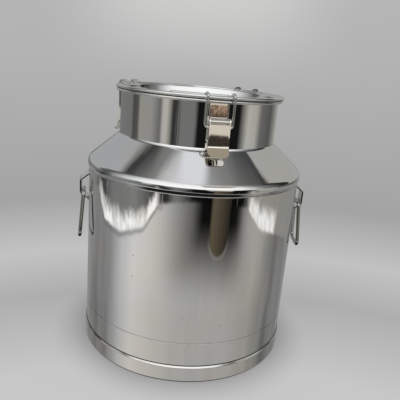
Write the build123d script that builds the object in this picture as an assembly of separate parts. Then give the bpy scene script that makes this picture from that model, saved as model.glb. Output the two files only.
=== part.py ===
from build123d import *
import os
from math import sin, cos, tan, hypot, pi, acos

# Stainless steel milk can, about 20 litres, with a dished lid held by three
# over-centre toggle latches, and two ring handles. Millimetres.
# Origin: centre of the foot ring's resting plane. +Z up, one ring handle on +X,
# the other 12 degrees in front of -X.
# Azimuths are measured from -Y (the front) towards +X.
# Outline and path points are (radius, z) or (radius, z, corner rounding).

# ---------------------------------------------------------------- dimensions
SHEET = 1.5                 # stainless sheet thickness
TRIM_H = 900.0              # height of the cylinders that trim parts to the can
BORE_HALF = 40.0            # half length of the cylinders that cut pin holes

# Body and base
BODY_R = 145.0              # outer radius of the cylindrical body
SEAM_Z = 54.6               # weld between base pan and body shell
SHOULDER_Z = 245.0          # weld between body shell and shoulder
SEAM_V = 0.45               # depth of the vee left at a butt weld
SEAM_LAP = 0.01             # how far a vee cutter passes the weld plane
PAN_FLOOR_Z = 12.0          # underside of the base pan
PAN_CORNER = 12.0
FOOT_R = 146.0              # foot ring outer radius
FOOT_H = 22.4
FOOT_BAND_T = 1.7
HEM_W = 3.2                 # folded hem under the foot ring
HEM_H = 4.0

# Shoulder and neck
BULGE_R = 146.8             # rolled edge of the shoulder
BULGE_Z = 249.4
SHOULDER_CORNER_Z = 256.5
NECK_R = 106.0              # outer radius of the neck
NECK_BASE_Z = 291.8         # where the cone meets the neck
NECK_TOP_Z = 294.2          # shoulder ends, neck collar begins
RIM_LOW_Z = 347.2           # underside of the neck's rolled rim
RIM_CURL_R = 1.6
RIM_CURL_AT = 110.4         # radius of the curl's centre line
RIM_TOP_Z = RIM_LOW_Z + 2 * RIM_CURL_R

# Lid, gasket and grip
FLANGE_Z = 353.8            # top of the lid's flange
LID_CURL_R = 2.1            # rolled edge of the lid
LID_CURL_AT = (110.9, 353.3)
RECESS_R = 99.4             # radius where the lid's recess starts
RECESS_FLOOR_R = 96.6
RECESS_FLOOR_Z = 322.0      # top of the recess floor
GASKET_IN = 104.7           # inner radius
GASKET_OUT = 108.2          # outer radius of the part under the flange
GASKET_LIP_R = 111.4        # outer radius of the thin lip on the rim
GASKET_LIP_Z = 351.1
GRIP_R = 3.5                # round bar
GRIP_HALF = 46.0            # half width at the top
GRIP_SPREAD = 3.0           # each leg leans out this much
GRIP_Z = 347.4
GRIP_BEND = 11.0
GRIP_FOOT_AT = GRIP_HALF + 2.9
GRIP_FOOT_R = 7.0
GRIP_FOOT_H = 1.6

# Latches
LATCH_AZIMUTHS = {"front": 12.5, "left": -110.0, "rear": 140.0}
LEVER_PIVOT = (114.8, 326.5)
BAIL_PIVOT = (113.5, 319.5)
PIN_R = 1.5
RUN = 0.06                  # running clearance on radius
PIN_HEAD_R = 2.5
PIN_HEAD_FROM = 0.15        # head's inner and outer faces, beyond the lever's side
PIN_HEAD_TO = 1.45

BRACKET_HALF = 10.0         # half width
BRACKET_T = 1.9
BRACKET_FACE_R = NECK_R + BRACKET_T
BRACKET_TOP_Z = 344.8
BARREL_R = PIN_R + RUN + 1.5
PAD_R = 104.0               # pad's inner radius before trimming to the neck
PAD_LOW_Z = 331.6

LEVER_HALF = 12.5
LEVER_T = 1.5
EAR_IN = LEVER_HALF - LEVER_T
LEVER_TIP = (125.2, 286.9)  # these three lie on the lever's outer surface
LEVER_BEND = (118.9, 297.4, 4.0)
LEVER_TOP = (118.3, 323.4)
EAR_OUTLINE = [
    (118.15, 327.1, 2.2), LEVER_TOP, (118.85, 300.4), (116.0, 300.4, 1.0),
    (110.7, 315.7, 2.6), (110.7, 321.7, 2.0), (112.6, 329.9, 1.6), (117.3, 329.9, 1.8),
]

WIRE_R = 1.5                # bail wire
BAIL_HALF = 16.0            # half spacing of the bail legs
BAIL_BEND = 3.0             # bend between cross bar and leg
BAIL_LEG = [                # from the cross bar up and over the lid's edge
    (BAIL_PIVOT[0], BAIL_PIVOT[1] + BAIL_BEND), (BAIL_PIVOT[0] + 0.3, 332.0, 10.0),
    (114.6, 346.5, 10.0), (114.6, 357.4, 3.0), (105.5, 357.4, 2.2), (100.6, 355.38),
]

# Ring handles
HANDLE_AZIMUTHS = {"right": 90.0, "left": -78.0}
STRAP_HALF = 10.0
STRAP_T = 2.5
STRAP_PATH = [              # outer surface, upwards; both ends start inside the body
    (140.0, 195.5), (157.2, 207.5, 4.5), (157.2, 227.0, 4.5), (140.0, 240.2),
]
RING_WIRE_R = 2.5
RING_PIVOT = (151.85, 210.2)
RING_DROP = 61.0
RING_TILT = 4.0             # the ring hangs slightly away from the body
RING_HALF_PATH = [          # (x, z, rounding) of one half, hanging from the pivot
    (0, 0), (13.4, 0, 3.6), (21.6, -RING_DROP, 8.0), (0, -RING_DROP),
]


# ------------------------------------------------------------------- helpers
def rounding(point):
    return point[2] if len(point) > 2 else 0


def unit(start, end):
    """Unit direction from start to end."""
    across, up = end[0] - start[0], end[1] - start[1]
    length = hypot(across, up)
    return across / length, up / length


def corner_arc(before, point, after):
    """Start, middle and end of the arc that rounds the corner at point."""
    radius = rounding(point)
    back, ahead = unit(point, before), unit(point, after)
    half_angle = acos(back[0] * ahead[0] + back[1] * ahead[1]) / 2
    bisector = unit((0, 0), (back[0] + ahead[0], back[1] + ahead[1]))

    def step(direction, distance):
        return point[0] + direction[0] * distance, point[1] + direction[1] * distance

    setback = radius / tan(half_angle)
    middle = step(bisector, radius / sin(half_angle) - radius)
    return step(back, setback), middle, step(ahead, setback)


def path_edges(points, place):
    """Edges through points, with rounded corners; place maps a point to 3-D."""
    edges = []
    here = points[0]
    for before, point, after in zip(points, points[1:], points[2:]):
        if rounding(point):
            start, middle, end = corner_arc(before, point, after)
            if hypot(start[0] - here[0], start[1] - here[1]) > 1e-6:
                edges.append(Edge.make_line(place(here), place(start)))
            edges.append(Edge.make_three_point_arc(place(start), place(middle), place(end)))
            here = end
        else:
            edges.append(Edge.make_line(place(here), place(point)))
            here = point
    edges.append(Edge.make_line(place(here), place(points[-1])))
    return edges


def outline_face(points, place):
    """Face inside a closed outline."""
    # start in the middle of the last side, so that every corner can be rounded
    first, last = points[0], points[-1]
    start = ((last[0] + first[0]) / 2, (last[1] + first[1]) / 2)
    return Face(Wire(path_edges([start, *points, start], place)))


def offset_path(points, thickness):
    """Open path moved to its left, with concentric bends."""
    normals = []
    for start, end in zip(points, points[1:]):
        across, up = unit(start, end)
        normals.append((-up, across))
    moved = []
    for point, a, b in zip(points, normals[:1] + normals, normals + normals[-1:]):
        scale = thickness / (1 + a[0] * b[0] + a[1] * b[1])
        turns_left = a[0] * b[1] - a[1] * b[0] > 0
        radius = rounding(point)
        if radius:
            radius += -thickness if turns_left else thickness
        moved.append((point[0] + (a[0] + b[0]) * scale,
                      point[1] + (a[1] + b[1]) * scale, radius))
    return moved


def sheet_face(points, thickness, place):
    """Section of bent sheet lying to the left of points."""
    other = offset_path(points, thickness)
    edges = path_edges(points, place)
    edges.append(Edge.make_line(place(points[-1]), place(other[-1])))
    edges += path_edges(other[::-1], place)
    edges.append(Edge.make_line(place(other[0]), place(points[0])))
    return Face(Wire(edges))


def on_xz(point):
    """To the XZ plane, for revolving about Z."""
    return Vector(point[0], 0, point[1])


def on_front(point, x=0):
    """To the plane of azimuth 0 (towards -Y), or one parallel to it at x."""
    return Vector(x, -point[0], point[1])


def turned(points):
    return revolve(outline_face(points, on_xz), axis=Axis.Z)


def turned_sheet(points):
    return revolve(sheet_face(points, SHEET, on_xz), axis=Axis.Z)


def slab(face, x_from, x_to):
    """Extrude a face of the azimuth 0 plane between two x positions."""
    return Pos(x_from, 0, 0) * extrude(face, amount=x_to - x_from, dir=(1, 0, 0))


def cross_bar(point, radius, x_from, x_to):
    """Cylinder along X through a point of the azimuth 0 plane."""
    place = Pos((x_from + x_to) / 2, -point[0], point[1])
    return place * Rot(0, 90, 0) * Cylinder(radius, x_to - x_from)


def bore(point, radius):
    return cross_bar(point, radius + RUN, -BORE_HALF, BORE_HALF)


def corner_cutters(x, radius, z, size, length):
    """Two square bars along Y, set on edge, that chamfer the corners at -x and +x."""
    left, right = [
        Pos(side * x, -radius, z) * Rot(0, 45, 0) * Box(size, length, size)
        for side in (-1, 1)
    ]
    return left + right


def rod(edges, radius):
    """Round wire swept along edges."""
    path = Wire(edges)
    section = Plane(origin=path.position_at(0), z_dir=path.tangent_at(0)) * Circle(radius)
    return sweep(section, path=path)


def weld_vee(seam_z, side, reach, extra):
    """Cutter bevelling the sheet above (side 1) or below (side -1) a body weld."""
    flat_z = seam_z - side * SEAM_LAP
    return turned([(BODY_R - SEAM_V, flat_z), (BODY_R + reach, flat_z),
                   (BODY_R + reach, seam_z + side * (SEAM_V + extra))])


# ------------------------------------------------------------ can body sheets
def make_body_shell():
    inner, bevel = BODY_R - SHEET, BODY_R - SEAM_V
    return turned([
        (inner, SEAM_Z), (bevel, SEAM_Z), (BODY_R, SEAM_Z + SEAM_V),
        (BODY_R, SHOULDER_Z - SEAM_V), (bevel, SHOULDER_Z), (inner, SHOULDER_Z),
    ])


def make_base_pan():
    """Floor, rounded corner and short wall up to the weld."""
    pan = turned_sheet([(0, PAN_FLOOR_Z), (BODY_R, PAN_FLOOR_Z, PAN_CORNER), (BODY_R, SEAM_Z)])
    return pan - weld_vee(SEAM_Z, side=-1, reach=1, extra=1.0)


def make_foot_ring():
    """Band with a folded hem to stand on, its top fitted to the pan's corner."""
    band_in, hem_in = FOOT_R - FOOT_BAND_T, FOOT_R - HEM_W
    ring = turned([
        (hem_in, 0, 0.6), (FOOT_R, 0, 0.9), (FOOT_R, FOOT_H, 1.7), (FOOT_R - 2.6, FOOT_H),
        (band_in, PAN_FLOOR_Z), (band_in, HEM_H, 0.5), (hem_in, HEM_H, 0.8),
    ])
    solid_top_z = 60
    pan_solid = turned([(0, PAN_FLOOR_Z), (BODY_R, PAN_FLOOR_Z, PAN_CORNER),
                        (BODY_R, solid_top_z), (0, solid_top_z)])
    return ring - pan_solid


def make_shoulder():
    """Rolled edge, cone, and fillet into the neck."""
    shoulder = turned_sheet([
        (BODY_R, SHOULDER_Z), (BULGE_R, BULGE_Z, 4.0), (BULGE_R, SHOULDER_CORNER_Z, 9.0),
        (NECK_R, NECK_BASE_Z, 4.5), (NECK_R, NECK_TOP_Z),
    ])
    # trim the slanted lower end square with the weld plane, then bevel it
    below = turned([(BODY_R - 6, SHOULDER_Z - 3), (BODY_R + 4, SHOULDER_Z - 3),
                    (BODY_R + 4, SHOULDER_Z), (BODY_R - 6, SHOULDER_Z)])
    return shoulder - below - weld_vee(SHOULDER_Z, side=1, reach=2, extra=1.2)


def make_neck_collar():
    inner = NECK_R - SHEET
    neck = turned([
        (inner, NECK_TOP_Z), (NECK_R, NECK_TOP_Z), (NECK_R, RIM_LOW_Z, 0.8),
        (RIM_CURL_AT, RIM_LOW_Z), (RIM_CURL_AT, RIM_TOP_Z), (inner, RIM_TOP_Z, 1.0),
    ])
    return neck + Pos(0, 0, (RIM_LOW_Z + RIM_TOP_Z) / 2) * Torus(RIM_CURL_AT, RIM_CURL_R)


# --------------------------------------------------------------- lid and seal
def make_lid():
    # the points are the top surface, walked inwards so that the sheet lies below
    sheet = turned_sheet([
        (LID_CURL_AT[0], FLANGE_Z), (RECESS_R, FLANGE_Z, 2.2),
        (RECESS_FLOOR_R, RECESS_FLOOR_Z, 7.0), (0, RECESS_FLOOR_Z),
    ])
    return sheet + Pos(0, 0, LID_CURL_AT[1]) * Torus(LID_CURL_AT[0], LID_CURL_R)


def make_gasket():
    top_z = FLANGE_Z - SHEET
    return turned([
        (GASKET_IN, RIM_TOP_Z, 0.3), (GASKET_LIP_R, RIM_TOP_Z, 0.2),
        (GASKET_LIP_R, GASKET_LIP_Z, 0.2), (GASKET_OUT, GASKET_LIP_Z),
        (GASKET_OUT, top_z, 0.3), (GASKET_IN, top_z, 0.3),
    ])


def make_grip_foot(side):
    place = Pos(side * GRIP_FOOT_AT, 0, RECESS_FLOOR_Z + GRIP_FOOT_H / 2)
    foot = place * Cylinder(GRIP_FOOT_R, GRIP_FOOT_H)
    return fillet(foot.edges().group_by(Axis.Z)[-1], 1.2)


def make_lid_grip():
    """Bent bar across the recess, on two round feet, trimmed at the floor."""
    foot_x = GRIP_HALF + GRIP_SPREAD
    bar = rod(path_edges([
        (-foot_x, RECESS_FLOOR_Z), (-GRIP_HALF, GRIP_Z, GRIP_BEND),
        (GRIP_HALF, GRIP_Z, GRIP_BEND), (foot_x, RECESS_FLOOR_Z),
    ], on_xz), GRIP_R)
    feet = make_grip_foot(-1) + make_grip_foot(1)
    below = Pos(0, 0, RECESS_FLOOR_Z - 5) * Box(140, 40, 10)
    return (bar + feet) - below


# ------------------------------------------- latches, drawn at azimuth 0
def make_bracket():
    """Strap on the neck, turned out at its lower end to the lever pin's barrel."""
    shelf_z = LEVER_PIVOT[1] + BARREL_R
    path = [(LEVER_PIVOT[0], shelf_z), (BRACKET_FACE_R, shelf_z, 1.0),
            (BRACKET_FACE_R, BRACKET_TOP_Z)]
    strap = slab(sheet_face(path, BRACKET_T, on_front), -BRACKET_HALF, BRACKET_HALF)
    barrel = cross_bar(LEVER_PIVOT, BARREL_R, -BRACKET_HALF, BRACKET_HALF)
    # pad behind the strap, trimmed to follow the neck
    pad_face = outline_face([
        (PAD_R, PAD_LOW_Z), (BRACKET_FACE_R, PAD_LOW_Z),
        (BRACKET_FACE_R, BRACKET_TOP_Z), (PAD_R, BRACKET_TOP_Z),
    ], on_front)
    bracket = strap + barrel + slab(pad_face, -BRACKET_HALF, BRACKET_HALF)
    bracket -= corner_cutters(BRACKET_HALF, 108, BRACKET_TOP_Z, size=1.8, length=40)
    bracket -= Cylinder(NECK_R, TRIM_H)
    return bracket - bore(LEVER_PIVOT, PIN_R)


def make_pin():
    """Lever pin with a rounded head at each end."""
    half = LEVER_HALF + 0.2
    pin = cross_bar(LEVER_PIVOT, PIN_R, -half, half)
    for side in (-1, 1):
        ends = sorted(side * (LEVER_HALF + gap) for gap in (PIN_HEAD_FROM, PIN_HEAD_TO))
        head = cross_bar(LEVER_PIVOT, PIN_HEAD_R, *ends)
        outer_face = head.faces().sort_by(Axis.X)[-1 if side > 0 else 0]
        pin += fillet(outer_face.edges(), 0.9)
    return pin


def make_lever():
    """Plate with an out-turned thumb lip at the bottom and an ear on each side."""
    path = [LEVER_TIP, LEVER_BEND, LEVER_TOP]
    plate = slab(sheet_face(path, LEVER_T, on_front), -LEVER_HALF, LEVER_HALF)
    ear = outline_face(EAR_OUTLINE, on_front)
    ears = slab(ear, -LEVER_HALF, -EAR_IN) + slab(ear, EAR_IN, LEVER_HALF)
    lever = plate + ears
    lever -= corner_cutters(LEVER_HALF, *LEVER_TIP, size=4.6, length=30)
    lever -= bore(LEVER_PIVOT, PIN_R)
    return lever - bore(BAIL_PIVOT, WIRE_R)


def make_bail():
    """Cross bar through the lever's ears, two bends, two legs with hooks."""
    radius, z = BAIL_PIVOT
    bar_half = BAIL_HALF - BAIL_BEND
    bail = cross_bar(BAIL_PIVOT, WIRE_R, -bar_half, bar_half)
    for side in (-1, 1):
        bend = Edge.make_three_point_arc(*[
            Vector(side * (bar_half + BAIL_BEND * sin(angle)), -radius,
                   z + BAIL_BEND * (1 - cos(angle)))
            for angle in (0, pi / 4, pi / 2)
        ])
        leg = path_edges(BAIL_LEG, lambda point: on_front(point, side * BAIL_HALF))
        bail += rod([bend] + leg, WIRE_R)
        tip = on_front(BAIL_LEG[-1], side * BAIL_HALF)
        bail += Pos(tip.X, tip.Y, tip.Z) * Sphere(WIRE_R)
    return bail


# -------------------------------------- ring handles, drawn at azimuth 0
def make_strap():
    strap = slab(sheet_face(STRAP_PATH, STRAP_T, on_front), -STRAP_HALF, STRAP_HALF)
    return strap - Cylinder(BODY_R, TRIM_H)


def make_ring():
    """Closed wire ring: bar through the strap, spreading legs, flat bottom."""
    left, right = [
        rod(path_edges(RING_HALF_PATH, lambda point: on_xz((side * point[0], point[1]))),
            RING_WIRE_R)
        for side in (-1, 1)
    ]
    # tilted so that the lower end moves outwards, towards -Y
    ring = Rot(-RING_TILT, 0, 0) * (left + right)
    return Pos(0, -RING_PIVOT[0], RING_PIVOT[1]) * ring


# ------------------------------------------------------------------- assembly
parts = {
    "body_shell": make_body_shell(),
    "base_pan": make_base_pan(),
    "foot_ring": make_foot_ring(),
    "shoulder": make_shoulder(),
    "neck_collar": make_neck_collar(),
    "lid": make_lid(),
    "lid_gasket": make_gasket(),
    "lid_grip": make_lid_grip(),
}
latch = {"bracket": make_bracket(), "pin": make_pin(), "lever": make_lever(), "bail": make_bail()}
handle = {"strap": make_strap(), "ring": make_ring()}

for group, pieces, azimuths in (("latch", latch, LATCH_AZIMUTHS),
                                ("handle", handle, HANDLE_AZIMUTHS)):
    for position, azimuth in azimuths.items():
        for piece, shape in pieces.items():
            parts[f"{group}_{position}_{piece}"] = Rot(0, 0, azimuth) * shape

os.makedirs("parts", exist_ok=True)
for name, shape in parts.items():
    export_step(shape, f"parts/{name}.step")
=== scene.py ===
# Lidded stainless steel can, with three latches (front, left, rear) and two side
# handles. It stands on z = 0 with its axis on Z; its front faces -Y, its right +X.
# Azimuths are in degrees about Z: 0 is the front (-Y), 90 the right (+X).
# The can is rebuilt from turned sheet sections, the formed fittings are refined CAD
# parts, and the mirror-like steel reflects a room painted in the world shader.
import bpy
import bmesh
import math
import numpy as np
from contextlib import contextmanager
from mathutils import Matrix, Vector


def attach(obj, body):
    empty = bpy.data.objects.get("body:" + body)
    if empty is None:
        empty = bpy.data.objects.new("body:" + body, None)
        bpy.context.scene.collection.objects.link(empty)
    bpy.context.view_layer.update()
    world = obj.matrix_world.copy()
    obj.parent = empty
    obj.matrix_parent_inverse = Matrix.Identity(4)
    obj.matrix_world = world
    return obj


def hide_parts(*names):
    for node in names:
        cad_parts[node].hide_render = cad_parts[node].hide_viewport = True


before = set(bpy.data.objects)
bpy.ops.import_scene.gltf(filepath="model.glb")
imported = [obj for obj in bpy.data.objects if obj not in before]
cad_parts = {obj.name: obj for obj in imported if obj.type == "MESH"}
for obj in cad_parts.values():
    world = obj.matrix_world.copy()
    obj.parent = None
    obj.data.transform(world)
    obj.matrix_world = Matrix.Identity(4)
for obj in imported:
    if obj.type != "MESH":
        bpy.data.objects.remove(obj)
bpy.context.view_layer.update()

# Part sizes are in millimetres, materials and studio in metres.
MM = 0.001
SHEET = 1.5             # thickness of the sheet
BODY_R = 145.0          # outside of the body
NECK_R = 106.0          # outside of the neck
BASE_SEAM_Z = 54.6      # base pan to body
SHOULDER_SEAM_Z = 245.0  # body to shoulder
NECK_SEAM_Z = 294.2     # shoulder to neck
RIM_TOP_Z = 350.4       # rolled rim of the neck, where the gasket sits
PAN_Z = 12.0            # underside of the base pan
PAN_BEND = 12.0         # outer bend of the base pan
SEAM_AZ = -13.0         # where the rolled sheets are welded shut
DEGREES = 57.29578      # degrees in a radian, for the shader maths


# ------------------------------------------------------------ shader networks
class Signal:
    """A shader output; arithmetic on it adds Math nodes."""

    def __init__(self, net, socket):
        self.net = net
        self.socket = socket

    def __add__(self, other):
        return self.net.math("ADD", self, other)

    def __radd__(self, other):
        return self.net.math("ADD", other, self)

    def __sub__(self, other):
        return self.net.math("SUBTRACT", self, other)

    def __rsub__(self, other):
        return self.net.math("SUBTRACT", other, self)

    def __mul__(self, other):
        return self.net.math("MULTIPLY", self, other)

    def __truediv__(self, other):
        return self.net.math("DIVIDE", self, other)


class Net:
    """Writes a shader node tree as expressions."""

    def __init__(self, tree):
        self.tree = tree
        tree.nodes.clear()

    def put(self, socket, value):
        if isinstance(value, Signal):
            self.tree.links.new(value.socket, socket)
        elif isinstance(value, tuple):
            socket.default_value = value + (1.0,)
        else:
            socket.default_value = value

    def raw(self, kind, inputs, **settings):
        """Adds a node and returns the node itself."""
        node = self.tree.nodes.new(kind)
        for key, value in settings.items():
            setattr(node, key, value)
        for key, value in inputs.items():
            self.put(node.inputs[key], value)
        return node

    def node(self, kind, inputs, out=0, **settings):
        """Adds a node and returns one of its outputs."""
        return Signal(self, self.raw(kind, inputs, **settings).outputs[out])

    def math(self, operation, *values):
        return self.node("ShaderNodeMath", dict(enumerate(values)), operation=operation)

    def coords(self, out):
        return self.node("ShaderNodeTexCoord", {}, out)

    def step(self, value, start, end):
        """Smooth 0 to 1 from start to end, where start may be the larger."""
        if start <= end:
            limits = (start, end, 0.0, 1.0)
        else:
            limits = (end, start, 1.0, 0.0)
        inputs = dict(zip(("From Min", "From Max", "To Min", "To Max"), limits))
        return self.node("ShaderNodeMapRange", {"Value": value, **inputs}, "Result",
                         interpolation_type="SMOOTHSTEP", clamp=True)

    def window(self, value, start, end, soft):
        """1 between start and end, with edges softened by soft to each side."""
        return (self.step(value, start - soft, start + soft)
                * self.step(value, end + soft, end - soft))

    def ramp(self, value, stops):
        """Linear ramp; stops are (position, grey or colour)."""
        node = self.raw("ShaderNodeValToRGB", {"Fac": value})
        elements = node.color_ramp.elements
        node.color_ramp.interpolation = "LINEAR"
        while len(elements) > 1:
            elements.remove(elements[-1])
        for i, (position, colour) in enumerate(stops):
            if not isinstance(colour, tuple):
                colour = (colour,) * 3
            element = elements[0] if i == 0 else elements.new(position)
            element.position = position
            element.color = colour + (1.0,)
        return Signal(self, node.outputs["Color"])

    def mix(self, factor, first, second, blend="MIX"):
        return self.node("ShaderNodeMix", {"Factor": factor, 6: first, 7: second}, 2,
                         data_type="RGBA", blend_type=blend)

    def times(self, colour, factor):
        return self.mix(1.0, colour, factor, "MULTIPLY")

    def xyz(self, vector):
        node = self.raw("ShaderNodeSeparateXYZ", {0: vector})
        return [Signal(self, socket) for socket in node.outputs]

    def vec(self, x, y, z):
        return self.node("ShaderNodeCombineXYZ", {0: x, 1: y, 2: z})

    def noise(self, vector, scale, detail, rough, distortion=0.0):
        return self.node("ShaderNodeTexNoise", {
            "Vector": vector, "Scale": scale, "Detail": detail, "Roughness": rough,
            "Distortion": distortion}, "Fac")

    def bump(self, height, depth, strength=1.0, normal=None):
        inputs = {"Strength": strength, "Distance": depth, "Height": height}
        if normal is not None:
            inputs["Normal"] = normal
        return self.node("ShaderNodeBump", inputs)


def linear(level):
    """Linear light of an sRGB grey level on the 0 to 255 scale."""
    level = level / 255.0
    return level / 12.92 if level <= 0.04045 else ((level + 0.055) / 1.055) ** 2.4


# ----------------------------------------------------------------- materials
def new_material(name):
    material = bpy.data.materials.new(name)
    material.use_nodes = True
    return material, Net(material.node_tree)


def steel(name, tint=(0.80, 0.79, 0.77), rough=0.06, wave=0.5, grain=0.4, smudge=0.5,
          heat=0.0, grain_along=False, brown_reflection_z=None):
    """Polished stainless steel. wave: waviness of the sheet; grain: polishing marks,
    round the part or along it; smudge: marks and specks; heat: tint beside a weld;
    brown_reflection_z: height (m) above which a streaked brown reflection is painted on."""
    def tinted(red, green, blue):
        return (tint[0] * red, tint[1] * green, tint[2] * blue)

    material, net = new_material(name)
    position = net.coords("Object")
    x, y, z = net.xyz(position)
    fine = net.vec(x, y, z * 0.08) if grain_along else net.vec(x * 0.12, y * 0.12, z)
    tall = net.vec(x, y, z * 0.16)

    blotch = net.noise(position, scale=14.0, detail=4.0, rough=0.62)
    hair = net.noise(fine, scale=2600.0, detail=2.0, rough=0.6)
    scratch = net.noise(fine, scale=700.0, detail=3.0, rough=0.75)
    cloud = net.noise(position, scale=42.0, detail=5.0, rough=0.7)
    # round specks, in only a few of the cells
    cells = net.raw("ShaderNodeTexVoronoi", {"Vector": position, "Scale": 62.0}, feature="F1")
    speck = net.step(Signal(net, cells.outputs["Distance"]), 0.085, 0.04)
    pick = net.xyz(Signal(net, cells.outputs["Color"]))[0]
    speck = speck * net.step(pick, 0.93, 0.95)

    # slow drift from warm to cool, then smudges, scratches and specks
    colour = net.mix(net.step(blotch, 0.38, 0.62),
                     tinted(1.0, 0.985, 0.955), tinted(0.985, 1.0, 1.01))
    colour = net.mix(net.step(cloud, 0.55, 0.85) * (0.16 * smudge), colour,
                     tinted(0.72, 0.72, 0.70 / 1.0) if False else
                     (tint[0] * 0.72, tint[1] * 0.72, tint[2] * 0.70)) if False else net.mix(
        net.step(cloud, 0.55, 0.85) * (0.16 * smudge), colour, tinted(0.72, 0.72, 0.70))
    colour = net.mix(net.step(scratch, 0.62, 0.8) * (0.10 * grain), colour,
                     tinted(1.08, 1.08, 1.07))
    colour = net.mix(speck * (0.55 * smudge), colour, (0.20, 0.19, 0.17))
    if heat:
        # straw and brown heat tint left beside a weld
        patches = net.noise(position, scale=90.0, detail=3.0, rough=0.6)
        colour = net.mix(net.step(patches, 0.35, 0.75) * heat, colour, tinted(0.80, 0.63, 0.44))
    if brown_reflection_z is not None:
        # painted reflection: streaked brown on the part above the given height
        streaks = net.noise(net.vec(x * 0.6, y * 0.6, z * 0.5),
                            scale=260.0, detail=4.0, rough=0.7, distortion=1.2)
        brown = net.mix(net.step(streaks, 0.34, 0.66), (0.085, 0.050, 0.030), (0.66, 0.47, 0.35))
        colour = net.mix(net.step(z, brown_reflection_z - 0.0002, brown_reflection_z + 0.0002) * 0.92, colour, brown)

    roughness = rough + net.step(cloud, 0.35, 0.8) * (0.07 * smudge)
    roughness = roughness + net.step(scratch, 0.45, 0.8) * (0.05 * grain)
    roughness = roughness + speck * 0.3

    normal = None
    for height, depth, strength in (
            (net.noise(tall, scale=30.0, detail=2.0, rough=0.45), 0.00016 * wave, 1.0),
            (net.noise(tall, scale=110.0, detail=2.0, rough=0.5), 0.000022 * wave, 1.0),
            (net.noise(position, scale=9.0, detail=1.0, rough=0.4), 0.00035 * wave, 1.0),
            (hair, 0.0000022 * grain, 1.0),
            (speck, 0.0001, 0.6)):
        normal = net.bump(height, depth, strength, normal)
    surface = net.node("ShaderNodeBsdfPrincipled", {
        "Base Color": colour, "Metallic": 1.0, "Roughness": roughness, "Normal": normal})
    net.raw("ShaderNodeOutputMaterial", {0: surface})
    return material


def rubber(name):
    material, net = new_material(name)
    position = net.coords("Object")
    blotch = net.noise(position, scale=60.0, detail=4.0, rough=0.6)
    pores = net.noise(position, scale=900.0, detail=3.0, rough=0.6)
    surface = net.node("ShaderNodeBsdfPrincipled", {
        "Base Color": net.mix(net.step(blotch, 0.3, 0.7),
                              (0.060, 0.060, 0.058), (0.085, 0.084, 0.080)),
        "Roughness": 0.42 + pores * 0.22,
        "Normal": net.bump(pores, depth=0.0001, strength=0.35)})
    net.raw("ShaderNodeOutputMaterial", {0: surface})
    return material


STEELS = {
    "body": dict(rough=0.022, wave=0.50, grain=0.35, smudge=0.45),
    "base": dict(rough=0.035, wave=0.35, grain=0.4, smudge=0.7),
    "foot": dict(tint=(0.79, 0.78, 0.75), rough=0.045, wave=0.40, grain=0.5, smudge=0.7),
    "shoulder": dict(tint=(0.80, 0.80, 0.80), rough=0.025, wave=0.5, grain=0.6, smudge=0.35),
    "neck": dict(rough=0.016, wave=0.8, grain=0.3, smudge=0.3),
    "lid": dict(tint=(0.82, 0.82, 0.81), rough=0.05, wave=0.4, grain=0.6, smudge=0.4),
    "bar": dict(rough=0.11, wave=0.2, grain=0.9, grain_along=True),
    "strap": dict(tint=(0.82, 0.80, 0.77), rough=0.085, wave=0.25, grain=1.0, smudge=0.7),
    "wire": dict(tint=(0.68, 0.665, 0.64), rough=0.03, wave=0.15, grain=0.9, grain_along=True),
    # painted shade: a darker copy of the wire steel, for the bails and rings that show dark
    "wire_shaded": dict(tint=(0.44, 0.43, 0.41), rough=0.035, wave=0.15, grain=0.9,
                      grain_along=True),
    "pin": dict(tint=(0.70, 0.69, 0.67), rough=0.16, wave=0.1, grain=0.8),
    "latch": dict(tint=(0.86, 0.84, 0.80), rough=0.02, wave=0.18, grain=0.35, smudge=0.35),
    # painted reflection: streaked brown over the upper part of the bracket
    "bracket": dict(tint=(0.80, 0.77, 0.73), rough=0.05, wave=0.5, grain=0.8, smudge=1.0,
                    brown_reflection_z=0.3312),
    # painted shade: near-black steel for the two dark crevice lines of the foot
    "crevice": dict(tint=(0.075, 0.072, 0.068), rough=0.45, wave=0.1, grain=0.3, smudge=0.5),
    "seam": dict(tint=(0.30, 0.29, 0.27), rough=0.30, wave=0.1, grain=0.5, smudge=1.0),
    "weld": dict(tint=(0.62, 0.60, 0.57), rough=0.24, wave=0.1, grain=0.5, smudge=1.0, heat=0.35),
}
MATERIALS = {name: steel("steel_" + name, **finish) for name, finish in STEELS.items()}
SILICONE = rubber("silicone")


# ------------------------------------------------------------ mesh utilities
@contextmanager
def editing(mesh):
    bm = bmesh.new()
    bm.from_mesh(mesh)
    yield bm
    bm.to_mesh(mesh)
    bm.free()


def add_object(name, mesh, material, sharp=None):
    """Smooth-shaded object; edges bent by more than sharp degrees stay hard."""
    mesh.polygons.foreach_set("use_smooth", [True] * len(mesh.polygons))
    if sharp is not None:
        mesh.set_sharp_from_angle(angle=math.radians(sharp))
    part = bpy.data.objects.new(name, mesh)
    bpy.context.scene.collection.objects.link(part)
    mesh.materials.append(material)
    return part


def link_mesh(name, verts, faces, material, sharp):
    mesh = bpy.data.meshes.new(name)
    mesh.from_pydata(np.array(verts).tolist(), [], faces)
    mesh.validate()
    with editing(mesh) as bm:
        bmesh.ops.remove_doubles(bm, verts=bm.verts, dist=1e-6)
        bmesh.ops.recalc_face_normals(bm, faces=bm.faces)
    return add_object(name, mesh, material, sharp)


def skin(rings, sides, closed=True):
    """Quads between successive rings of points."""
    faces = []
    for i in range(rings if closed else rings - 1):
        j = (i + 1) % rings
        for k in range(sides):
            after = (k + 1) % sides
            faces.append((i * sides + k, i * sides + after, j * sides + after, j * sides + k))
    return faces


def arc_points(centre, radius, start, end, count):
    return [(centre[0] + radius * math.cos(angle), centre[1] + radius * math.sin(angle))
            for angle in np.radians(np.linspace(start, end, count))]


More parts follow.
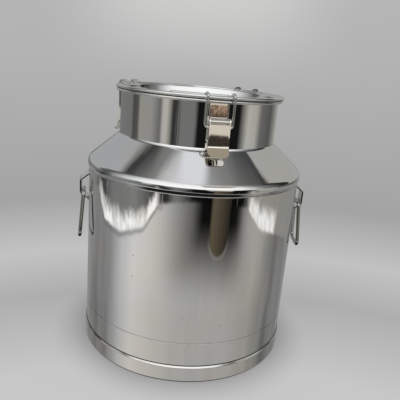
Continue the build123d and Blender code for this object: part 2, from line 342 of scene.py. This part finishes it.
def arc_corner(before, corner, after, radius, seg):
    """Arc that rounds a corner, with seg segments per right angle."""
    before, corner, after = (np.array(point, float) for point in (before, corner, after))
    back, ahead = before - corner, after - corner
    back, ahead = back / np.linalg.norm(back), ahead / np.linalg.norm(ahead)
    opening = math.acos(max(-1, min(1, float(back @ ahead))))
    setback = radius / math.tan(opening / 2)
    middle = (back + ahead) / np.linalg.norm(back + ahead)
    centre = corner + middle * radius / math.sin(opening / 2)
    start, end = corner + back * setback, corner + ahead * setback
    first = math.atan2(*(start - centre)[::-1])
    last = math.atan2(*(end - centre)[::-1])
    sweep = (last - first + math.pi) % (2 * math.pi) - math.pi
    count = max(2, int(math.ceil(abs(sweep) / math.radians(90) * seg)))
    angles = [first + sweep * i / count for i in range(count + 1)]
    return [tuple(centre + radius * np.array([math.cos(a), math.sin(a)])) for a in angles]


def rounded(points, radii, seg, closed=False):
    """Polyline with its corners rounded; the ends of an open one stay sharp."""
    out = []
    count = len(points)
    for i, radius in enumerate(radii):
        if radius and (closed or 0 < i < count - 1):
            out += arc_corner(points[i - 1], points[i], points[(i + 1) % count], radius, seg)
        else:
            out.append(points[i])
    clean = [out[0]]
    for point in out[1:]:
        if math.dist(point, clean[-1]) > 1e-5:
            clean.append(point)
    if closed and math.dist(clean[0], clean[-1]) < 1e-5:
        clean.pop()
    return clean


def offset_poly(points, distance):
    """Polyline moved to its left."""
    normals = []
    for (x0, y0), (x1, y1) in zip(points, points[1:]):
        length = math.hypot(x1 - x0, y1 - y0)
        normals.append((-(y1 - y0) / length, (x1 - x0) / length))
    normals = [normals[0]] + normals + [normals[-1]]
    out = []
    for (x, y), one, two in zip(points, normals, normals[1:]):
        scale = distance / (1 + one[0] * two[0] + one[1] * two[1])
        out.append((x + (one[0] + two[0]) * scale, y + (one[1] + two[1]) * scale))
    return out


def bent_sheet(points, radii, seg):
    """Closed section of a bent sheet, its thickness to the left of points."""
    other_radii = []
    for (x0, y0), (x1, y1), (x2, y2), radius in zip(points, points[1:], points[2:], radii):
        turns_left = (x1 - x0) * (y2 - y1) - (y1 - y0) * (x2 - x1) > 0
        other_radii.append(max(0.05, radius - SHEET) if turns_left else radius + SHEET)
    near = rounded(points, [0] + radii + [0], seg)
    far = rounded(offset_poly(points, SHEET), [0] + other_radii + [0], seg)
    return near + far[::-1]


def azimuths(count, seam):
    """Even azimuths, made closer beside the seam."""
    angles = list(np.linspace(-180, 180, count, endpoint=False))
    if seam is not None:
        side = np.array([0.1, 0.25, 0.45, 0.7, 1.0, 1.4, 2.0])
        angles = [a for a in angles if abs(a - seam) > 2.2]
        angles += list(seam - side) + [seam] + list(seam + side)
    return np.sort(np.array(angles))


def supported(section, near=0.12, least=1.2):
    """Adds points to each side longer than least, in its middle and near its ends,
    so that its shading stays flat up to the bend."""
    out = []
    for start, end in zip(section, section[1:] + section[:1]):
        out.append(start)
        length = math.dist(start, end)
        if length > least:
            for t in (near / length, 0.5, 1 - near / length):
                out.append((start[0] + (end[0] - start[0]) * t,
                            start[1] + (end[1] - start[1]) * t))
    return out


def revolve(name, section, material, count=360, seam=None, shape=None):
    """Closed section of (radius, height) turned about Z. shape(radius, height,
    azimuth) gives the final radius."""
    angles = azimuths(count, seam)
    section = np.array(supported(section), float)
    sides, rings = len(section), len(angles)
    radius = np.repeat(section[None, :, 0], rings, 0)
    z = np.repeat(section[None, :, 1], rings, 0)
    azimuth = np.repeat(angles[:, None], sides, 1)
    if shape is not None:
        radius = shape(radius, z, azimuth)
    turn = np.radians(azimuth)
    verts = np.stack([radius * np.sin(turn), -radius * np.cos(turn), z], -1).reshape(-1, 3) * MM
    on_axis = section[:, 0] < 1e-6
    faces = [face for face in skin(rings, sides)
             if not (on_axis[face[0] % sides] and on_axis[face[1] % sides])]
    return link_mesh(name, verts, faces, material, 35.0)


def clean_axis(part):
    """Merges what is left where a section meets the axis."""
    with editing(part.data) as bm:
        bmesh.ops.remove_doubles(bm, verts=bm.verts, dist=2e-7)
        bmesh.ops.dissolve_degenerate(bm, edges=bm.edges, dist=1e-8)
        bmesh.ops.recalc_face_normals(bm, faces=bm.faces)


def tube(name, path, radius, material, closed=False, sides=12, ripple=0.0, pitch=1.0):
    """Round bead along a path; its radius varies by ripple, and open ends taper."""
    path = np.array(path, float)
    count = len(path)
    tangent = np.roll(path, -1, 0) - np.roll(path, 1, 0)
    if not closed:
        tangent[0], tangent[-1] = path[1] - path[0], path[-1] - path[-2]
    tangent /= np.linalg.norm(tangent, axis=1)[:, None]
    travel = np.concatenate([[0], np.cumsum(np.linalg.norm(np.diff(path, axis=0), axis=1))])
    outward = path * np.array([1, 1, 0])
    outward /= np.linalg.norm(outward, axis=1)[:, None] + 1e-9
    normal = outward - (outward * tangent).sum(1)[:, None] * tangent
    normal /= np.linalg.norm(normal, axis=1)[:, None]
    binormal = np.cross(tangent, normal)
    verts = []
    for i in range(count):
        size = radius * (1 + ripple * (abs(math.sin(math.pi * travel[i] / pitch)) - 0.6))
        if not closed:
            end = min(travel[i], travel[-1] - travel[i]) / (radius * 1.2)
            if end < 1:
                size *= math.sqrt(max(0.02, min(1.0, end * (2 - end))))
        for k in range(sides):
            turn = 2 * math.pi * k / sides
            around = math.cos(turn) * normal[i] + math.sin(turn) * binormal[i]
            verts.append((path[i] + size * around) * MM)
    faces = skin(count, sides, closed)
    if not closed:
        faces.append(tuple(range(sides))[::-1])
        faces.append(tuple((count - 1) * sides + k for k in range(sides)))
    return link_mesh(name, verts, faces, material, 60.0)


def place(part, body, slot, *replaced):
    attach(part, body)
    if replaced:
        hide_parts(*replaced)


# ------------------------------------------------------- rolled sheet details
def lumps(azimuth, z, size, seed):
    """Slight out-of-round of a rolled sheet."""
    rng = np.random.RandomState(seed)
    out = np.zeros_like(azimuth)
    for k in (3, 5, 8, 13, 21, 34):
        phase, rise, weight = rng.uniform(0, 6.28), rng.uniform(0, 6.28), rng.uniform(0.3, 1.0)
        lean = 0.004 * z * rng.uniform(-1, 1) * k
        out += weight / k ** 1.15 * np.cos(np.radians(azimuth) * k + phase + lean + rise)
    return out * size


def weld_cusp(azimuth, radius, depth):
    """The sheet's two ends dip to the seam and meet there in a shallow ridge."""
    along = np.radians((azimuth - SEAM_AZ + 180) % 360 - 180) * radius
    return -depth * np.exp(-np.abs(along) / 5) + 0.035 * np.exp(-(along / 0.55) ** 2)


# ---------------------------------------------------------------- can: sheets
def body_shell():
    inside, edge, middle_z = BODY_R - SHEET, 0.45, 150.0
    section = rounded([
        (inside, BASE_SEAM_Z), (BODY_R - edge, BASE_SEAM_Z), (BODY_R, BASE_SEAM_Z + edge),
        (BODY_R, middle_z), (BODY_R, SHOULDER_SEAM_Z - edge), (BODY_R - edge, SHOULDER_SEAM_Z),
        (inside, SHOULDER_SEAM_Z), (inside, middle_z)],
        [0, 0.1, 0.3, 0, 0.3, 0.1, 0, 0], seg=4, closed=True)

    def shape(radius, z, azimuth):
        return (radius + lumps(azimuth, z, 0.07, 4) * (radius > 144.9)
                + (radius > 144.2) * weld_cusp(azimuth, BODY_R, 0.05))

    part = revolve("body_shell_sheet", section, MATERIALS["body"], seam=SEAM_AZ, shape=shape)
    place(part, "can", "steel_body", "body_shell")


def base_pan():
    rim = (BODY_R, BASE_SEAM_Z)
    section = bent_sheet([(0.0, PAN_Z), (BODY_R, PAN_Z), rim], [PAN_BEND], seg=14)
    # the rim turns in to the seam
    i = section.index(rim)
    section[i:i + 1] = [(BODY_R, 53.9), (144.93, 54.12), (144.6, 54.55)]
    part = revolve("base_pan_sheet", section, MATERIALS["base"], shape=lambda radius, z, azimuth:
                   radius + lumps(azimuth, z, 0.05, 9) * (radius > 140))
    clean_axis(part)
    place(part, "can", "steel_base", "base_pan")


def foot_ring():
    def on_pan(z):
        """Radius just outside the bend of the base pan."""
        drop = PAN_Z + PAN_BEND - z
        return BODY_R - PAN_BEND + math.sqrt(PAN_BEND ** 2 - drop ** 2) + 0.02

    inner, outer = 142.8, 146.0
    section = arc_corner((inner, 4.0), (inner, 0.0), (outer, 0.0), 0.6, 4)
    section += rounded([(inner, 0), (outer, 0), (outer, 19.7), (144.95, 22.35)],
                       [0, 1.6, 1.2, 0], seg=8)[1:]
    section += [(on_pan(22.4), 22.36), (on_pan(21.8), 21.8), (on_pan(20.0), 20.0),
                (144.3, 19.4), (144.3, 12.0), (144.3, 4.6), (143.9, 4.0), (143.2, 4.0),
                (142.86, 3.6)]
    part = revolve("foot_ring_band", section, MATERIALS["foot"], shape=lambda radius, z, azimuth:
                   radius + lumps(azimuth, z, 0.05, 2) * (radius > 145.5))
    place(part, "can", "steel_foot", "foot_ring")


def shoulder_cone():
    widest = 146.8
    section = bent_sheet([(BODY_R, SHOULDER_SEAM_Z), (widest, 249.4), (widest, 256.5),
                          (NECK_R, 291.8), (NECK_R, NECK_SEAM_Z)], [1.6, 9.0, 4.5], seg=16)
    # the lower edge narrows to the seam
    section[0] = (144.62, SHOULDER_SEAM_Z)
    section.insert(1, (145.12, 245.45))
    section[-1] = (143.55, SHOULDER_SEAM_Z)

    def shape(radius, z, azimuth):
        return (radius + lumps(azimuth, z, 0.05, 6)
                + (z < 247.5) * weld_cusp(azimuth, BODY_R, 0.05))

    part = revolve("shoulder_cone", section, MATERIALS["shoulder"], seam=SEAM_AZ, shape=shape)
    place(part, "can", "steel_shoulder", "shoulder")


def neck_collar():
    inside, rim_z, rim_r = NECK_R - SHEET, 348.8, 1.6
    section = rounded([(inside, NECK_SEAM_Z), (NECK_R, NECK_SEAM_Z), (NECK_R, 320.0),
                       (NECK_R, 347.2), (108.9, 347.2)], [0, 0, 0, 0.8, 0], seg=6)
    section += arc_points((110.4, rim_z), rim_r, -110, 90, 22)
    section += rounded([(108.0, RIM_TOP_Z), (inside, RIM_TOP_Z), (inside, 320.0)],
                       [0, 1.0, 0], seg=6)

    def shape(radius, z, azimuth):
        wall = (z < 349.8) * (radius < 107.5) * np.clip((346.6 - z) / 6.0, 0, 1)
        return radius + (lumps(azimuth, z, 0.10, 12) + weld_cusp(azimuth, NECK_R, 0.11)) * wall

    part = revolve("neck_collar_sheet", section, MATERIALS["neck"], seam=SEAM_AZ, shape=shape)
    place(part, "can", "steel_neck", "neck_collar")


# ----------------------------------------------------------------- lid, seal
def lid():
    """Dished lid with a rolled bead round its edge."""
    points = [(110.9, 353.8), (99.4, 353.8), (96.6, 322.0), (0.0, 322.0)]
    bead_start = 108.9
    top = rounded(points, [0, 2.2, 7.0, 0], seg=14)
    under = rounded(offset_poly(points, SHEET), [0, 0.7, 8.5, 0], seg=14)
    section = [point for point in top + under[::-1] if point[0] < bead_start]
    section += arc_points((110.9, 353.3), 2.1, -157, 166, 34)
    part = revolve("lid_pressing", section, MATERIALS["lid"], shape=lambda radius, z, azimuth:
                   radius + lumps(azimuth, z, 0.04, 15) * (radius > 90))
    clean_axis(part)
    place(part, "lid", "steel_lid", "lid")


def lid_gasket():
    section = rounded([(104.7, RIM_TOP_Z), (111.4, RIM_TOP_Z), (111.4, 351.1), (108.2, 351.1),
                       (108.2, 352.3), (104.7, 352.3)],
                      [0.3, 0.2, 0.2, 0, 0.3, 0.3], seg=4, closed=True)
    part = revolve("lid_gasket_ring", section, SILICONE, count=300)
    place(part, "lid", "silicone", "lid_gasket")


for build in (body_shell, base_pan, foot_ring, shoulder_cone, neck_collar, lid, lid_gasket):
    build()


# ------------------------------------------------------- weld beads, painted crevice shade
def ring_bead(name, ring_radius, z, radius, material, slot, count, **ripples):
    turn = np.radians(np.linspace(0, 360, count, endpoint=False))
    path = np.stack([ring_radius * np.sin(turn), -ring_radius * np.cos(turn),
                     np.full(count, z)], 1)
    part = tube(name, path, radius, material, closed=True, sides=8, **ripples)
    place(part, "can", slot)


def strap_bead(name, azimuth, z, half=9.6):
    """Weld along the edge of a handle strap, across the body wall."""
    across = np.linspace(-half, half, 60)
    out = np.sqrt(BODY_R ** 2 - across ** 2) + 0.15
    turn = math.radians(azimuth)
    x = across * math.cos(turn) + out * math.sin(turn)
    y = across * math.sin(turn) - out * math.cos(turn)
    part = tube(name, np.stack([x, y, np.full(len(across), z)], 1), 1.15, MATERIALS["weld"],
                ripple=0.12, pitch=1.7)
    place(part, "can", "steel_strap")


for name, ring_radius, z in (("weld_base_seam", 144.56, 54.55),
                             ("weld_shoulder_seam", 144.62, SHOULDER_SEAM_Z)):
    ring_bead(name, ring_radius, z, 0.42, MATERIALS["seam"], "steel_body", 1400,
              ripple=0.10, pitch=1.3)
# painted shade in the two crevices of the foot: at its top edge, where it is partly grime, and a
# painted contact shadow along the floor
for name, ring_radius, z, radius in (("crevice_foot_top", 144.95, 22.85, 0.62),
                                     ("crevice_foot_low", 145.1, 0.55, 0.50)):
    ring_bead(name, ring_radius, z, radius, MATERIALS["crevice"], "steel_foot", 360)
for side, azimuth in (("right", 90.0), ("left", -78.0)):
    for edge, z in (("top", 236.7), ("low", 198.7)):
        strap_bead(f"weld_strap_{side}_{edge}", azimuth, z)


# ------------------------------------------------------------- formed fittings
def fitting(node, suffix, body, slot, material, bevel, segments=2):
    """A finished copy of a formed CAD part: one welded skin, flat areas cleaned up
    and the pressed edges broken."""
    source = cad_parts[node].data
    mesh = bpy.data.meshes.new(node + suffix)
    mesh.from_pydata([tuple(vert.co) for vert in source.vertices], [],
                     [tuple(face.vertices) for face in source.polygons])
    with editing(mesh) as bm:
        bmesh.ops.remove_doubles(bm, verts=bm.verts, dist=2e-6)
        bmesh.ops.dissolve_degenerate(bm, edges=bm.edges, dist=1e-7)
        bmesh.ops.recalc_face_normals(bm, faces=bm.faces)
        bmesh.ops.dissolve_limit(bm, angle_limit=math.radians(0.6), verts=bm.verts,
                                 edges=bm.edges)
        limit = math.radians(35.0)
        edges = [edge for edge in bm.edges
                 if len(edge.link_faces) == 2 and edge.calc_face_angle(0) > limit]
        bmesh.ops.bevel(bm, geom=edges, offset=bevel * MM, segments=segments, profile=0.5,
                        affect="EDGES", clamp_overlap=True, offset_type="OFFSET")
        bmesh.ops.triangulate(bm, faces=[face for face in bm.faces if len(face.verts) > 4])
    part = add_object(node + suffix, mesh, material, sharp=32)
    weighted = part.modifiers.new("flat_faces", "WEIGHTED_NORMAL")
    weighted.mode = "FACE_AREA"
    weighted.weight = 100
    weighted.keep_sharp = True
    place(part, body, slot, node)


for side in ("front", "left", "rear"):
    fitting(f"latch_{side}_lever", "_plate", f"lever_{side}", "steel_latch",
            MATERIALS["latch"], bevel=0.28)
    fitting(f"latch_{side}_bracket", "_strap", "can", "steel_latch",
            MATERIALS["bracket"], bevel=0.25)
for side in ("right", "left"):
    fitting(f"handle_{side}_strap", "_bent", "can", "steel_strap",
            MATERIALS["strap"], bevel=0.45, segments=3)

# the CAD pieces that stay, by the last word of their names
KEPT = {"ring": "wire", "bail": "wire", "pin": "pin", "grip": "bar"}
# painted shade: these bails and rings take the darker copy of the wire steel
SHADED_WIRES = ("latch_left_bail", "latch_rear_bail", "handle_left_ring", "handle_right_ring")
for name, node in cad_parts.items():
    if node.hide_render:
        continue
    kind = "wire_shaded" if name in SHADED_WIRES else KEPT[name.rsplit("_", 1)[1]]
    node.data.materials.clear()
    node.data.materials.append(MATERIALS[kind])


# ------------------------------------------------------------------- camera
def add_camera(location, pan, tilt, roll, lens):
    """pan turns right from +Y, tilt looks down, both in radians."""
    data = bpy.data.cameras.new("camera")
    camera = bpy.data.objects.new("camera", data)
    bpy.context.scene.collection.objects.link(camera)
    bpy.context.scene.camera = camera
    forward = Vector((math.sin(pan) * math.cos(tilt), math.cos(pan) * math.cos(tilt),
                      -math.sin(tilt)))
    level = Vector((math.cos(pan), -math.sin(pan), 0))
    upright = level.cross(forward)
    right = math.cos(roll) * level + math.sin(roll) * upright
    up = -math.sin(roll) * level + math.cos(roll) * upright
    matrix = Matrix((right, up, -forward)).transposed().to_4x4()
    matrix.translation = location
    camera.matrix_world = matrix
    data.sensor_width = 36.0
    data.lens = lens
    data.clip_start, data.clip_end = 0.01, 20.0


add_camera(location=(0.0, -0.653287, 0.388616), pan=0.0183579, tilt=0.2820062,
           roll=0.0866136, lens=42.26004)


# ------------------------------------------------------------ studio: backdrop
def backdrop_paper():
    """Mostly self-lit paper, toned by direction as seen from near the camera."""
    eye_y, eye_z = -0.6533, 0.3886
    material, net = new_material("backdrop_paper")
    position = net.coords("Object")
    x, y, z = net.xyz(position)
    y, z = y - eye_y, z - eye_z
    flat = net.math("SQRT", x * x + y * y)
    elevation = net.math("ARCTAN2", z, flat) * DEGREES
    side = net.math("ARCTAN2", x, y) * DEGREES
    elevation = elevation - x / flat * 2.3
    # (elevation, grey level) of the painted light and shade: pale near floor, a light band where
    # the sweep begins to rise, and a wall that lightens upwards
    levels = [(-60, 205), (-35, 200), (-27, 175), (-22, 195), (-16, 165), (0, 180), (8, 185),
              (30, 205)]
    tone = net.ramp((elevation + 60.0) * (1 / 90.0),
                    [((angle + 60.0) / 90.0, linear(level)) for angle, level in levels])
    # painted light: the middle of the wall is brighter
    middle = net.window(side, -12.0, 11.0, soft=7.0) * net.step(elevation, -4.0, 8.0)
    tone = net.mix(middle, tone, net.times(tone, (1.30, 1.30, 1.285)))
    drift = net.noise(position, scale=2.2, detail=3.0, rough=0.5)
    tone = net.mix(net.step(drift, 0.3, 0.7), net.times(tone, (0.985, 0.99, 0.985)),
                   net.times(tone, (1.0, 1.0, 1.0)))
    # contact shade under the can
    open_sky = net.node("ShaderNodeAmbientOcclusion", {"Distance": 0.05}, "AO", samples=12)
    shade = net.math("POWER", open_sky, 0.8)
    glow = net.node("ShaderNodeEmission", {"Color": net.times(tone, shade)})
    diffuse = net.node("ShaderNodeBsdfDiffuse", {"Color": tone})
    both = net.node("ShaderNodeMixShader", {0: 0.12, 1: glow, 2: diffuse})
    net.raw("ShaderNodeOutputMaterial", {0: both})
    return material


def backdrop():
    """Round floor that sweeps up into a wall, just under z = 0."""
    floor_r, sweep_r, turns = 0.85, 0.75, 120
    wall_r = floor_r + sweep_r
    section = [(0.0, 0.0)] + [(radius, 0.0) for radius in np.linspace(0.05, floor_r, 17)]
    for angle in np.radians(np.linspace(0, 90, 24)[1:]):
        section.append((floor_r + sweep_r * math.sin(angle), sweep_r * (1 - math.cos(angle))))
    section += [(wall_r, z) for z in np.linspace(0.85, 3.2, 12)]
    count = len(section)
    verts, faces = [], []
    for i in range(turns):
        turn = 2 * math.pi * i / turns
        for radius, z in section:
            verts.append((radius * math.sin(turn), -radius * math.cos(turn), z - 0.0001))
        j = (i + 1) % turns
        for k in range(count - 1):
            faces.append((i * count + k, j * count + k, j * count + k + 1, i * count + k + 1))
    mesh = bpy.data.meshes.new("backdrop")
    mesh.from_pydata(verts, [], faces)
    with editing(mesh) as bm:
        bmesh.ops.remove_doubles(bm, verts=bm.verts, dist=1e-6)
    drop = add_object("backdrop", mesh, backdrop_paper())
    drop.visible_glossy = False


backdrop()


# -------------------------------------------------------------- studio: light
def area(name, location, target, size, power, colour):
    light = bpy.data.lights.new(name, "AREA")
    light.shape = "RECTANGLE"
    light.size = light.size_y = size
    light.energy = power
    light.color = colour
    lamp = bpy.data.objects.new(name, light)
    lamp.location = location
    lamp.rotation_mode = "QUATERNION"
    lamp.rotation_quaternion = (Vector(target) - Vector(location)).to_track_quat("-Z", "Y")
    bpy.context.scene.collection.objects.link(lamp)
    lamp.visible_glossy = False
    lamp.visible_camera = False


area("key_top", location=(0.1, -0.1, 2.4), target=(0, 0, 0.1), size=1.6, power=26.0,
     colour=(1.0, 0.995, 0.985))
area("fill_front", location=(-0.9, -1.1, 1.3), target=(0, 0, 0.15), size=1.0, power=4.0,
     colour=(0.98, 1.0, 1.0))

# ------------------------------- studio: the room that the polished steel mirrors
REFLECTANCE = 0.80      # of the steel; room levels are given as seen in it
NEUTRAL = (1, 1, 1)
WARM = (1.01, 1.0, 0.93)
COOL = (0.99, 1.0, 1.01)
PALE = (1.01, 1.0, 0.98)
BLUE = (0.97, 0.99, 1.04)


def seen(level, tint=COOL):
    """Room colour that shows in the steel as the given grey level."""
    value = linear(level) / REFLECTANCE
    return tuple(value * part for part in tint)


world = bpy.data.worlds.new("room")
bpy.context.scene.world = world
world.use_nodes = True
net = Net(world.node_tree)
direction = net.coords("Generated")
dir_x, dir_y, dir_z = net.xyz(direction)
azim = net.math("ARCTAN2", dir_x, dir_y * -1.0) * DEGREES
elev = net.math("ARCSINE", dir_z) * DEGREES


def streaks(height, stretch, scale, detail, rough):
    """Noise over the direction, with its height scaled by stretch."""
    return net.noise(net.vec(dir_x, dir_y, height * stretch), scale, detail, rough)


def spread(noise, width):
    return (noise - 0.5) * width


def turn_fraction(angle):
    return angle * (1 / 360.0) + 0.5


def band(fraction, *stops):
    """Tones round the room; stops are (azimuth, level, tint if not COOL)."""
    return net.ramp(fraction, [((angle + 180.0) / 360.0, seen(*tone)) for angle, *tone in stops])


# azimuth and elevation made uneven, so that edges look reflected in wavy sheet
ripple_wide = streaks(dir_z, 0.25, scale=16.0, detail=3.0, rough=0.6)
ripple_fine = streaks(dir_z, 0.2, scale=46.0, detail=2.0, rough=0.6)
wobble = net.noise(direction, scale=7.0, detail=3.0, rough=0.55)
azim_loose = azim + spread(wobble, 9.0)
azim_tight = azim + spread(wobble, 3.0)
jag = spread(ripple_wide, 3.0) + spread(ripple_fine, 1.6)
elev_jag = elev + jag
around = turn_fraction(azim)
around_tight = turn_fraction(azim_tight)
around_loose = turn_fraction(azim_loose)

# room seen at eye level: tall bands of light and dark
eye_left = band(
    around_tight, (-180, 110), (-110, 110), (-105, 70), (-95, 80), (-90, 140, WARM), (-70, 140),
    (-55, 100), (-50, 170), (-45, 170, WARM), (-35, 50), (-30, 50), (-25, 110), (-5, 110),
    (0, 20), (16, 20))
eye_right = band(
    around_tight, (16, 20), (20, 160, WARM), (38, 160, WARM), (42, 20), (60, 20), (75, 170, WARM),
    (90, 160, WARM), (100, 100), (125, 80), (155, 150, WARM), (180, 110))
eye_level = net.mix(net.step(azim_tight, 15.5, 16.5), eye_left, eye_right)
# just above the edge of the pale floor
low_band = band(
    around_loose, (-180, 120), (-130, 120), (-112, 30), (-95, 110), (-60, 120), (-40, 60),
    (-26, 40), (-15, 110), (0, 20), (15, 10), (55, 10), (62, 100, WARM), (75, 140, WARM),
    (180, 120))
# high up: bright ceiling in front, the room's darker upper walls at the sides
high_band = band(
    around_loose, (-180, 150), (-118, 160), (-110, 90), (-100, 80), (-70, 200), (-50, 240),
    (0, 250), (50, 240), (80, 120), (105, 40), (117, 40), (120, 160, WARM), (180, 150))
dark_ring = band(
    around_loose, (-180, 120), (-120, 140), (-112, 50), (-95, 120), (-75, 190), (-50, 230),
    (0, 230), (50, 200), (85, 120), (118, 60), (121, 160, WARM), (180, 120))
overhead = band(
    around_loose, (-180, 190), (-110, 120), (-95, 120), (-85, 180), (-70, 200, BLUE),
    (0, 210, BLUE), (50, 160), (100, 110), (120, 120), (180, 190))

# the bands stacked by elevation
front = net.window(azim, -66.0, 62.0, soft=8.0)
rise = net.mix(front, net.step(elev_jag, -3.0, 3.0), net.step(elev_jag, 1.0, 6.0))
sky = net.mix(rise, eye_level, high_band)
sky = net.mix(net.step(elev_jag, 42.0, 50.0), sky, dark_ring)
sky = net.mix(net.step(elev_jag, 61.0, 70.0), sky, overhead)
sky = net.mix(net.step(elev, 78.0, 84.0), sky, seen(214, BLUE))
sky = net.mix(net.step(elev_jag, -10.5, -13.0), sky, low_band)

# pale floor below
ground = band(
    around, (-180, 140), (-120, 110), (-95, 120), (-75, 180), (-60, 200, PALE), (-40, 190, PALE),
    (-10, 170, PALE), (60, 160, PALE), (80, 150, WARM), (110, 100), (180, 140))
ground = net.mix(net.step(elev, -24.0, -31.0) * 0.55, ground,
                 net.times(ground, (0.80, 0.79, 0.78)))
mottle = net.noise(direction, scale=5.0, detail=2.0, rough=0.5)
ground = net.mix(net.step(mottle, 0.35, 0.65) * 0.10, ground, seen(196, (1.03, 0.98, 0.98)))
# soft dark shape in front of the can, as three nested layers:
# azimuth from, to, softness; elevation where it starts, is full; strength
outer, middle, inner = [
    1.0 - net.window(azim_tight, left, right, soft) * net.step(elev, start, full) * strength
    for left, right, soft, start, full, strength in (
        (-20.0, 60.0, 20.0, -29.5, -23.5, 0.50),
        (0.0, 55.0, 12.0, -25.5, -20.5, 0.70),
        (8.0, 54.0, 6.0, -22.5, -18.5, 0.92))]
ground = net.times(ground, outer * middle * inner)
# the ground close in is in the can's own shade
ground = net.mix(net.step(elev, -46.0, -54.0), ground, seen(24))

# where the floor ends: (azimuth, elevation), stored in the ramp as -elevation / 40
FLOOR_EDGE = [(-180, -16), (-120, -15), (-105, -19), (-80, -20.5), (-50, -20), (-35, -17),
              (0, -16.5), (60, -16.5), (80, -19), (180, -20)]
edge = net.ramp(around, [((angle + 180.0) / 360.0, -height / 40.0)
                         for angle, height in FLOOR_EDGE])
edge = net.xyz(edge)[0] * -40.0
above_edge = elev + jag * 0.14 - edge
# torn bright patches standing on the edge, left and right of the middle
slant = dir_z + azim * 0.0035
streak = net.step(streaks(slant, 3.0, scale=9.0, detail=4.0, rough=0.6), 0.34, 0.62)
fray = above_edge + spread(streaks(slant, 3.5, scale=12.0, detail=3.0, rough=0.6), 3.0)
patch_left = net.window(azim_loose, -116.0, -34.0, soft=4.0) * net.step(fray, 3.0, 0.7)
patch_right = net.window(azim_loose, 62.0, 104.0, soft=4.0) * net.step(fray, 3.4, 1.2)
sky = net.mix(patch_left * (streak * 0.35 + 0.60), sky, seen(248, NEUTRAL))
sky = net.mix(patch_right * (streak * 0.38 + 0.54), sky, seen(240, NEUTRAL))
# faint pale scratches low down, away from the front
scratches = net.step(streaks(dir_z, 0.30, scale=34.0, detail=3.0, rough=0.7), 0.60, 0.74)
where = net.step(elev, -11.5, -13.0) * net.step(net.math("ABSOLUTE", azim), 36.0, 44.0)
sky = net.mix(scratches * 0.30 * where, sky, seen(220, NEUTRAL))
sky = net.mix(net.step(above_edge, 0.25, -0.25), sky, ground)
# thin dark line just under the left bright patch
rim_line = (net.window(above_edge, -0.75, -0.15, soft=0.2)
            * net.window(azim, -110.0, -30.0, soft=4.0))
sky = net.mix(rim_line * 0.55, sky, seen(96))

# brown post standing in front, with a rounded lower end
POST_AZ, POST_HALF = 31.5, 10.5         # middle and half width
POST_END, POST_ROUND = -20.7, 2.3       # where the rounding starts, and its height
post_az = azim - POST_AZ
across = net.math("ABSOLUTE", post_az) * (1 / POST_HALF)
down = (POST_END - elev) * (1 / POST_ROUND)
reach = net.math("SQRT", across * across
                 + net.math("MAXIMUM", down, 0.0) * net.math("MAXIMUM", down, 0.0))
post = net.step(reach, 1.05, 0.90)
post_rim = net.window(reach, 0.9, 1.08, soft=0.07) * net.step(elev, -20.0, -22.5)
post_tone = net.ramp(post_az * (1 / (2 * POST_HALF)) + 0.5, [
    (0.0, seen(52, (1.18, 1.0, 0.72))), (0.15, seen(78, (1.20, 1.0, 0.70))),
    (0.5, seen(64, (1.20, 1.0, 0.70))), (0.85, seen(46, (1.16, 1.0, 0.76))),
    (1.0, seen(34, (1.10, 1.0, 0.82)))])
sky = net.mix(post * net.step(elev, -9.0, -10.5), sky, post_tone)
sky = net.mix(post_rim * 0.30, sky, seen(150, WARM))
# light reddish patch level with the latches, brown below an arched edge
arch = elev - (azim - 27.0) * (azim - 27.0) * -0.012
patch = net.window(azim_loose, 15.0, 41.0, soft=3.0) * net.window(elev, -9.0, 3.0, soft=0.8)
patch_tone = net.mix(net.step(arch, -5.70, -5.50),
                     seen(46, (1.22, 0.98, 0.78)), seen(190, (1.07, 1.0, 0.88)))
sky = net.mix(patch, sky, patch_tone)
# tan patch high in front
tan = net.window(azim, 12.0, 54.0, soft=4.0) * net.window(elev, 38.0, 58.0, soft=3.0)
sky = net.mix(tan, sky, seen(138, (1.14, 1.0, 0.80)))

# reflections see the painted room, everything else an even pale light
room = net.node("ShaderNodeBackground", {"Color": sky})
ambient = net.node("ShaderNodeBackground", {"Color": (0.93, 0.95, 0.96), "Strength": 0.55})
glossy = net.node("ShaderNodeLightPath", {}, "Is Glossy Ray")
net.raw("ShaderNodeOutputWorld", {
    0: net.node("ShaderNodeMixShader", {0: glossy, 1: ambient, 2: room})})

scene = bpy.context.scene
scene.view_settings.view_transform = "Standard"
scene.view_settings.look = "None"
scene.cycles.max_bounces = 10
scene.cycles.glossy_bounces = 8
scene.cycles.caustics_reflective = False
scene.cycles.sample_clamp_indirect = 4.0
